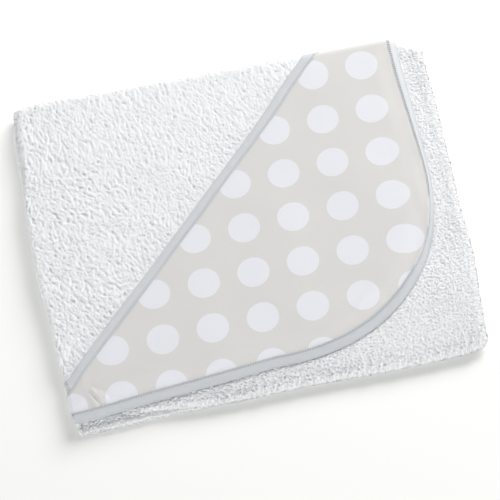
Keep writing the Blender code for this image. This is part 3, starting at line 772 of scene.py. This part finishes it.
# ---- hood panel and lining ----
def hood_outline(gap, inset):
    """The hood inside its edge tape and behind its free edge."""
    edge = HOOD_EDGE
    turned = np.roll(edge, -1, axis=0) - np.roll(edge, 1, axis=0)
    turned[0], turned[-1] = edge[1] - edge[0], edge[-1] - edge[-2]
    turned /= np.linalg.norm(turned, axis=1)[:, None]
    inner = edge + np.c_[turned[:, 1], -turned[:, 0]] * inset
    keep = front_distance(inner[:, 0], inner[:, 1]) > gap
    run = inner[keep]
    c = HOOD_LINE + gap * SQ2
    start, end = ([(p[0] + p[1] + c) / 2, (p[0] + p[1] - c) / 2] for p in (run[0], run[-1]))
    return np.concatenate([[start], run, [end]])


P_CELL, L_CELL = 2.6, 4.2  # cell sizes of the print and of the lining
P_US = lines([(-246.0, U_FOLD - A, P_CELL), (U_FOLD - A, U_FOLD + A, 2 * A / 8), (U_FOLD + A, -178.0, P_CELL),
              (-178.0, -148.0, P_CELL / 2), (-148.0, HOOD_END, P_CELL)], 1)
P_VS = lines([(-158.0, -146.0, P_CELL), (-146.0, -120.0, P_CELL / 2), (-120.0, V_NEAR, P_CELL),
              (V_NEAR, V_FOLD - B, 0.6), (V_FOLD - B, V_FOLD + B, 2 * B / 12), (V_FOLD + B, 256.0, P_CELL)], 1)


def crease(u, v, at, angle, length, width):
    """One soft crease: a ridge of a given length and width."""
    c, s = math.cos(angle), math.sin(angle)
    a, d = (u - at[0]) * c + (v - at[1]) * s, -(u - at[0]) * s + (v - at[1]) * c
    return np.exp(-(d / width) ** 2) * np.exp(-(a / length) ** 4)


def panel_relief(u, v):
    """The printed cloth's own unevenness: puckers at the tape, soft swells and a few creases."""
    d = edge_distance(u, v)
    f = front_distance(u, v)
    puckers = 0.16 * np.exp(-np.maximum(d - TAPE_W, 0) / 7.0) * waves(u, v, 41, 7, 16)
    puckers += 0.12 * np.exp(-np.maximum(f - TAPE_W, 0) / 6.0) * waves(u, v, 42, 7, 18)
    swell = 0.22 * waves(u, v, 43, 45, 110) * smooth(TAPE_W, 40, d)
    folds = sum(height * crease(u, v, *shape) for *shape, height in CREASES)
    open_part = smooth(U_FOLD + A, U_FOLD + A + 8, u) * smooth(V_FOLD - B, V_FOLD - B - 8, v)
    return (puckers + swell + folds) * open_part


CREASES = [  # place, direction, half length, half width, height
    ((-164.0, -130.5), -1.00, 8, 1.9, 2.10), ((-168.8, -133.8), -1.05, 7, 1.8, 1.70),
    ((-159.2, -131.5), -0.95, 6, 1.8, 1.30), ((86.0, -97.0), 0.55, 13, 2.6, 0.95),
    ((92.0, -104.0), 0.45, 12, 2.5, 0.85), ((79.0, -91.0), 0.60, 10, 2.7, 0.60),
    ((148.0, -58.5), 1.15, 12, 2.5, 1.10), ((154.0, -52.0), 1.20, 13, 2.4, 0.90),
    ((141.0, -65.0), 1.05, 10, 2.7, 0.70), ((157.0, -24.0), 1.35, 16, 2.7, 0.80),
    ((153.5, -9.0), 1.45, 12, 2.6, 0.75), ((154.0, 14.0), 1.50, 18, 2.9, 0.50),
    ((60.0, -112.0), 0.30, 14, 2.8, 0.60), ((-60.0, -128.0), 0.15, 14, 2.8, 0.55),
    ((-110.0, -118.0), -0.2, 12, 2.8, 0.60),
]


def shell(name, lattice_parts, low, high, mat):
    """A closed sheet over a lattice, between two depths. Its rim is walled."""
    points, faces, rim = lattice_parts
    u, v = points.T
    n = len(points)
    places = np.concatenate([fold(u, v, high), fold(u, v, low)])
    all_faces = faces + [tuple(i + n for i in reversed(f)) for f in faces] + [(b, a, a + n, b + n) for a, b in rim]
    pattern = np.tile(np.c_[u, v, 0 * u], (2, 1))
    return new_mesh(name, places, all_faces, pattern, mat), np.tile(u, 2), np.tile(v, 2)


def make_panel(name, cut):
    """The printed cloth between two values of v."""
    points, faces, rim = lattice(P_US, P_VS, PANEL_OUTLINE, cut=cut)
    u, v = points.T
    rise = panel_relief(u, v)
    low, high = panel_bottom(u, v) + rise, panel_top(u, v) + rise
    obj, both_u, both_v = shell(name, (points, faces, rim), low, high, PRINT_MAT)
    # the cut across the back fold keeps the surfaces' shading as if they went on
    n = len(points)
    cut_edges = {frozenset((a + k, b + k)) for a, b in rim for k in (0, n)
                 if any(abs(v[a] - c) < TINY and abs(v[b] - c) < TINY for c in cut)}
    for edge in obj.data.edges:
        if frozenset(edge.vertices) in cut_edges:
            edge.use_edge_sharp = True
    return obj, both_u, both_v


PANEL_OUTLINE = hood_outline(0.5, TAPE_W - 1.2)
panel, pu, pv = make_panel("hood_print", (-400.0, V_NEAR))
bend(panel, hood_weight(pu, pv))
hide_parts("hood_panel", "hood_panel_left_wrap")

tip, _, tv = make_panel("hood_print_back_tip", (V_NEAR, 400.0))
bend(tip, back_weight(tv))
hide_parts("hood_panel_back_wrap")

# the lining stops short of both folds
U_FLAT, V_FLAT = U_FOLD + A + 17.5, V_FOLD - B - 17.5
LINING_OUTLINE = hood_outline(1.2, TAPE_W - 1.0)


def make_lining():
    parts = lattice(lines([(U_FLAT, HOOD_END, L_CELL)], 1), lines([(-158.0, V_FLAT, L_CELL)], 1), LINING_OUTLINE)
    u, v = parts[0].T
    rise = 0.12 * waves(u, v, 51, 30, 90) - 0.1
    low = lining_bottom(u, v)
    obj, both_u, both_v = shell("hood_lining_cloth", parts, low + rise, low + LINING + rise, LINING_MAT)
    bend(obj, hood_weight(both_u, both_v))
    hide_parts("hood_lining")
    return obj


lining = make_lining()


# ---- tapes and hems: sections carried along paths on the pattern ----
def resample(path, step):
    """Points evenly spaced along a path, closer together where it crosses the left fold's short arc."""
    path = np.asarray(path, float)
    seg = np.hypot(*(path[1:] - path[:-1]).T)
    run = np.r_[0, np.cumsum(seg)]
    n = max(2, int(run[-1] / step))
    at = np.linspace(0, run[-1], n + 1)
    u = np.interp(at, run, path[:, 0])
    extra = []
    for i in range(n):
        lo, hi = sorted((u[i], u[i + 1]))
        if lo < U_FOLD + A and hi > U_FOLD - A:
            extra += list(np.linspace(at[i], at[i + 1], 10)[1:-1])
    at = np.sort(np.r_[at, extra])
    return np.c_[np.interp(at, run, path[:, 0]), np.interp(at, run, path[:, 1])], at


def normals(path):
    """Unit direction to the left of the path."""
    d = np.gradient(path, axis=0)
    for _ in range(2):
        d[1:-1] = (d[:-2] + 2 * d[1:-1] + d[2:]) / 4
    d /= np.linalg.norm(d, axis=1)[:, None]
    return np.c_[-d[:, 1], d[:, 0]]


def sweep(name, path, step, section, mat, extra=None, split=None, mark=None):
    """A closed bar along a path, with the places (u, v) of its points.

    section(along) gives, for each line of the bar: its distance to the left of the path, its depth
    as a function of (u, v), and its place across the section. split is (name, function of (u, v)):
    the bar's start, up to where the function holds, becomes an object of that name."""
    path, along = resample(path, step)
    left = normals(path)
    ds, hs, across = section(along)
    k = len(ds)
    d = np.stack(np.broadcast_arrays(*ds), 1)
    us = path[:, 0][:, None] + left[:, 0][:, None] * d
    vs = path[:, 1][:, None] + left[:, 1][:, None] * d
    h = np.stack([f(us[:, i], vs[:, i]) for i, f in enumerate(hs)], 1)
    places = fold(us, vs, h)
    n = len(path)
    marks = np.zeros((n, k)) if mark is None else mark(us, vs)
    pattern = np.stack([np.repeat(along[:, None], k, 1), np.tile(np.asarray(across, float), (n, 1)), marks], -1)
    whole = [(name, 0, n)]
    if split is not None:
        first = int(np.argmax(split[1](path[:, 0], path[:, 1])))
        whole = [(name, first, n), (split[0], 0, first + 1)]
    made = []
    for part, start, end in whole:
        m = end - start
        i, j = [a.ravel() for a in np.meshgrid(np.arange(m - 1), np.arange(k), indexing="ij")]
        a, b = i * k + j, i * k + (j + 1) % k
        faces = np.stack([a, b, b + k, a + k], 1).tolist()
        faces += [list(range(k))[::-1]] if start == 0 else []
        faces += [[(m - 1) * k + c for c in range(k)]] if end == n else []
        values = {key: np.tile(row, m) for key, row in (extra or {}).items()}
        obj = new_mesh(part, places[start:end].reshape(-1, 3), faces, pattern[start:end].reshape(-1, 3), mat, values)
        made.append((obj, us[start:end].ravel(), vs[start:end].ravel()))
    return made if split is not None else made[0]


TAPE_ACROSS = [0, 4, 8, 9.2, 10, 10.8, 12, 12.8, 14.2, 16, 17.8, 18.6, 19.2, 19.8, 20.2, 20.6, 21, 23, 26, 28,
               30, 32, 34, 36]
# painted shade across a tape's section, row by row: full on its hidden inside and the lower leg's edge, part of it
# round the turn, in the seam's dip and at the upper leg's edge
TAPE_RIM_SHADE = [1, 0.3, 0.3, 0.4, 0.5, 0.5, 0.25, 0, 0, 0, 0, 0.5, 0.5, 0.3, 0.5, 1, 1, 1, 1, 1, 1, 1, 1, 1]


def levels(low, high):
    """Makers of depths: so far from low, so far from high, and a share of the way between."""
    return (lambda add: lambda u, v: low(u, v) + add,
            lambda add: lambda u, v: high(u, v) + add,
            lambda share: lambda u, v: low(u, v) + (high(u, v) - low(u, v)) * share)


def tape_section(turn, low, high, seed):
    """A folded tape: its upper leg crowned and drawn in at the stitches, its turn rounded."""
    down, up, between = levels(low, high)

    def section(along):
        pull = 0.5 + 0.5 * np.cos(along * math.tau / STITCH)
        w = TAPE_W + waves(along, 0 * along, seed, 5, 17) * 0.22
        swell = 0.10 * waves(along, 0 * along, seed + 1, 6, 15)
        dip = up(-0.12 - 0.06 * pull)
        rows = [
            # the lower leg, the turn, the upper leg
            (w, down(0.0)), (TAPE_W * 0.5, down(0.0)), (0.35, down(0.0)),
            (-0.75 * turn, between(0.16)), (-turn, between(0.5)), (-0.75 * turn, between(0.84)),
            (0.35, up(-0.02)), (1.1, up(0.10 + swell)), (2.6, up(0.16 + swell)), (4.6, up(0.15 + swell)),
            (SEAM_IN - 1.0, up(0.06)), (SEAM_IN - 0.35, dip), (SEAM_IN + 0.35, dip),
            (np.minimum(SEAM_IN + 0.9, w - 0.15), up(0.02 - 0.04 * pull)), (w - 0.08, up(-0.02)),
            # and back along the inside
            (w + 0.02, up(-0.16)), (w - 0.04, up(-TAPE)), (SEAM_IN, up(-TAPE - 0.05)), (3.0, up(-TAPE)),
            (0.45, up(-TAPE - 0.05)), (-0.75 * turn + TAPE, between(0.5)), (0.45, down(TAPE)),
            (3.0, down(TAPE)), (w - 0.02, down(TAPE)),
        ]
        return [d for d, _ in rows], [h for _, h in rows], TAPE_ACROSS

    return section


def edge_high(u, v):
    """The sewn edge's tape lies on the terry in front of the hood, and on the hood's cloth behind."""
    step = smooth(0.2, 5.0, edge_distance(u, v)) * smooth(-4, 8, front_distance(u, v))
    return terry_top(u, v) + 0.3 + TAPE + 1.35 * step


def edge_low(u, v):
    return 0.05 + 0 * u


def make_edge_tape():
    """The sewn edge's tape. Its seam gets painted shade, at full strength away from the front and half as much on
    its leg in front of the hood; that leg is also painted darker.
    """
    obj, _, v = sweep(
        "hood_edge_tape", HOOD_EDGE[::-1], 1.3, tape_section(0.75, edge_low, edge_high, 61), TAPE_MAT,
        {"rim": TAPE_RIM_SHADE}, mark=lambda u, v: 0.42 + 0.5 * smooth(-60, 20, v) * (u > 0))
    bend(obj, back_weight(v))
    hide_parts("hood_edge_binding", "edge_binding_back_wrap")
    return obj


edge_tape = make_edge_tape()


def front_low(u, v):
    return terry_top(u, v) + 0.12


def front_high(u, v):
    return panel_top(u, v) + 0.2 + TAPE


def diagonal(a, b, n):
    """Points on the hood's free edge, from u = a to u = b."""
    return [(a + (b - a) * i / n, a + (b - a) * i / n - HOOD_LINE) for i in range(n + 1)]


def make_front_tape():
    """The free edge's tape, from behind the back fold to beyond the left fold."""
    path = diagonal(BACK_TIP[0] - 3.5, LEFT_TIP[0] + 3.5, 120)
    # the free edge's tape gets a faint painted shade along its seam
    (main, u, v), (back, _, back_v) = sweep(
        "hood_front_tape", path, 1.3, tape_section(0.35, front_low, front_high, 71), TAPE_MAT, {"rim": TAPE_RIM_SHADE},
        ("hood_front_tape_back_tip", lambda u, v: v < V_NEAR - TAPE_W), lambda u, v: 0.18 + 0 * u)
    bend(main, hood_weight(u, v))
    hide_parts("hood_front_binding", "front_binding_left_wrap")
    bend(back, back_weight(back_v))
    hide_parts("front_binding_back_wrap")
    return main, back


front_tape, front_tape_tip = make_front_tape()


def stitches(name, path, base, seed):
    """Separate stitches along a tape: short arched threads that dip into the cloth at both ends."""
    rng = np.random.default_rng(seed)
    dense, along = resample(path, 0.5)
    left = normals(dense)
    count = int(along[-1] / STITCH) - 2
    centres = (np.arange(1, count + 1) + 0.5) * STITCH + rng.uniform(-0.08, 0.08, count)
    girth = np.array([0.35, 0.85, 1.0, 1.0, 0.85, 0.35]) * STITCH_R
    rings, sides = len(girth), 6
    t = np.linspace(-0.5, 0.5, rings)
    at = centres[:, None] + t * STITCH * STITCH_LENGTH
    side = SEAM_IN + rng.normal(0, 0.05, count)[:, None] + 0.06 * rng.normal(0, 1, count)[:, None] * t
    pu, pv, lu, lv = (np.interp(at, along, column) for column in (*dense.T, *left.T))
    angle = np.arange(sides) / sides * math.tau
    across, upward = np.cos(angle) * girth[:, None], np.sin(angle) * girth[:, None]
    u = (pu + lu * side)[:, :, None] + lu[:, :, None] * across
    v = (pv + lv * side)[:, :, None] + lv[:, :, None] * across
    h = base(u, v) + (-0.16 + 0.30 * (1 - (2 * t) ** 2))[:, None] + upward
    faces = []
    for o in range(0, count * rings * sides, rings * sides):
        for i in range(rings - 1):
            for j in range(sides):
                a, b = o + i * sides + j, o + i * sides + (j + 1) % sides
                faces.append((a, a + sides, b + sides, b))
        faces.append(tuple(o + j for j in range(sides)))
        faces.append(tuple(o + (rings - 1) * sides + j for j in range(sides))[::-1])
    pattern = np.stack([np.repeat(at[:, :, None], sides, 2), np.broadcast_to(np.arange(sides) / sides, u.shape),
                        np.zeros(u.shape)], -1)
    obj = new_mesh(name, fold(u, v, h).reshape(-1, 3), faces, pattern.reshape(-1, 3), THREAD_MAT)
    return obj, u.ravel(), v.ravel()


edge_stitches, _, ev = stitches("hood_edge_stitches", HOOD_EDGE[::-1], edge_high, 81)
bend(edge_stitches, back_weight(ev))
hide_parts("edge_binding_thread")

FRONT_SEAM = diagonal(V_NEAR + HOOD_LINE - 3, LEFT_TIP[0] + 9, 60)
front_stitches, fu, fv = stitches("hood_front_stitches", FRONT_SEAM, front_high, 82)
bend(front_stitches, hood_weight(fu, fv))
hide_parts("front_binding_thread")


def hem_section(along):
    """Overlock threads round the plain edge: loops that swell and pinch at each stitch."""
    loop = 0.5 + 0.5 * np.cos(along * math.tau / HEM_STITCH)
    back = 0.5 + 0.5 * np.cos(along * math.tau / HEM_STITCH + 1.2)
    low, high, mid = levels(terry_bottom, terry_top)
    ds = [2.8 + 0.4 * back, 1.5, 0.3, -0.4 - 0.7 * loop, -0.4 - 0.7 * loop, 0.3, 1.5, 2.8 + 0.4 * loop]
    hs = [low(0.8), low(0.6 - 0.35 * loop), low(0.8 - 0.4 * loop), mid(0.38), mid(0.62),
          high(-0.8 + 0.4 * loop), high(-0.6 + 0.35 * loop), high(-0.8)]
    return ds, hs, [0, 2, 3.5, 4.6, 6.6, 7.8, 9.2, 11]


def make_hem():
    obj, _, v = sweep("overlock_hem", HEM[2:][::-1], 1.15, hem_section, HEM_MAT)
    bend(obj, back_weight(v))
    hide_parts("overlock_upper_half", "overlock_lower_half", "overlock_back_fold")
    return obj


hem = make_hem()


# ---- floor, light, camera ----
def make_floor():
    reach, z = 6.0, -0.0004
    mesh = bpy.data.meshes.new("floor")
    mesh.from_pydata([(-reach, -reach, z), (reach, -reach, z), (reach, reach, z), (-reach, reach, z)],
                     [], [(0, 1, 2, 3)])
    obj = bpy.data.objects.new("floor", mesh)
    bpy.context.scene.collection.objects.link(obj)
    mat = bpy.data.materials.new("pale_floor")
    mat.use_nodes = True
    for key, value in (("Base Color", (0.935, 0.937, 0.905, 1)), ("Roughness", 0.9), ("Specular IOR Level", 0.1),
                       ("Emission Color", (1, 1, 0.99, 1)), ("Emission Strength", 0.15)):
        mat.node_tree.nodes["Principled BSDF"].inputs[key].default_value = value
    mesh.materials.append(mat)
    return obj


floor = make_floor()

scene = bpy.context.scene
scene.view_settings.view_transform = "Standard"
scene.view_settings.look = "None"
world = bpy.data.worlds.new("studio")
world.use_nodes = True
world.node_tree.nodes["Background"].inputs[0].default_value = (0.97, 0.985, 1.0, 1)
world.node_tree.nodes["Background"].inputs[1].default_value = 0.45
scene.world = world


def area_light(name, position, size, power, colour):
    """A rectangular light facing the middle of the scene."""
    data = bpy.data.lights.new(name, "AREA")
    data.shape = "RECTANGLE"
    data.size, data.size_y = size
    data.energy = power
    data.color = colour
    obj = bpy.data.objects.new(name, data)
    obj.location = position
    obj.rotation_euler = (-Vector(position)).to_track_quat("-Z", "Y").to_euler()
    scene.collection.objects.link(obj)
    return obj


def fill_light(name, position, size, power):
    """A low light that keeps off the floor, so it doesn't wash the soft shadow out."""
    light = area_light(name, position, size, power, (0.985, 0.99, 1.0))
    group = bpy.data.collections.new(name + "_skips")
    group.objects.link(floor)
    group.collection_objects[0].light_linking.link_state = "EXCLUDE"
    light.light_linking.receiver_collection = group


area_light("key", (1.75, 1.85, 1.75), (2.0, 2.0), 94, (1.0, 0.995, 0.985))
fill_light("front fill", (-0.3, -3.2, 0.26), (2.6, 0.45), 62)
fill_light("left fill", (-3.0, -0.6, 0.26), (2.0, 0.45), 18)

LENS, SENSOR = 218.9, 36.0
AZIMUTH, ELEVATION, ROLL = 0.04916, 1.10185, -0.26406
TARGET, DISTANCE = (-0.0036, -0.0224, 0.0183), 2.76


def make_camera():
    data = bpy.data.cameras.new("camera")
    data.lens, data.sensor_width = LENS, SENSOR
    data.clip_end = 50
    data.dof.use_dof = False
    obj = bpy.data.objects.new("camera", data)
    scene.collection.objects.link(obj)
    a, e, r = AZIMUTH, ELEVATION, ROLL
    back = Vector((math.sin(a) * math.cos(e), -math.cos(a) * math.cos(e), math.sin(e)))
    right = Vector((math.cos(a), math.sin(a), 0))
    up = back.cross(right)
    x = math.cos(r) * right + math.sin(r) * up
    y = -math.sin(r) * right + math.cos(r) * up
    turn = Matrix((x, y, back)).transposed().to_4x4()
    obj.matrix_world = Matrix.Translation(Vector(TARGET) + DISTANCE * back) @ turn
    scene.camera = obj


make_camera()
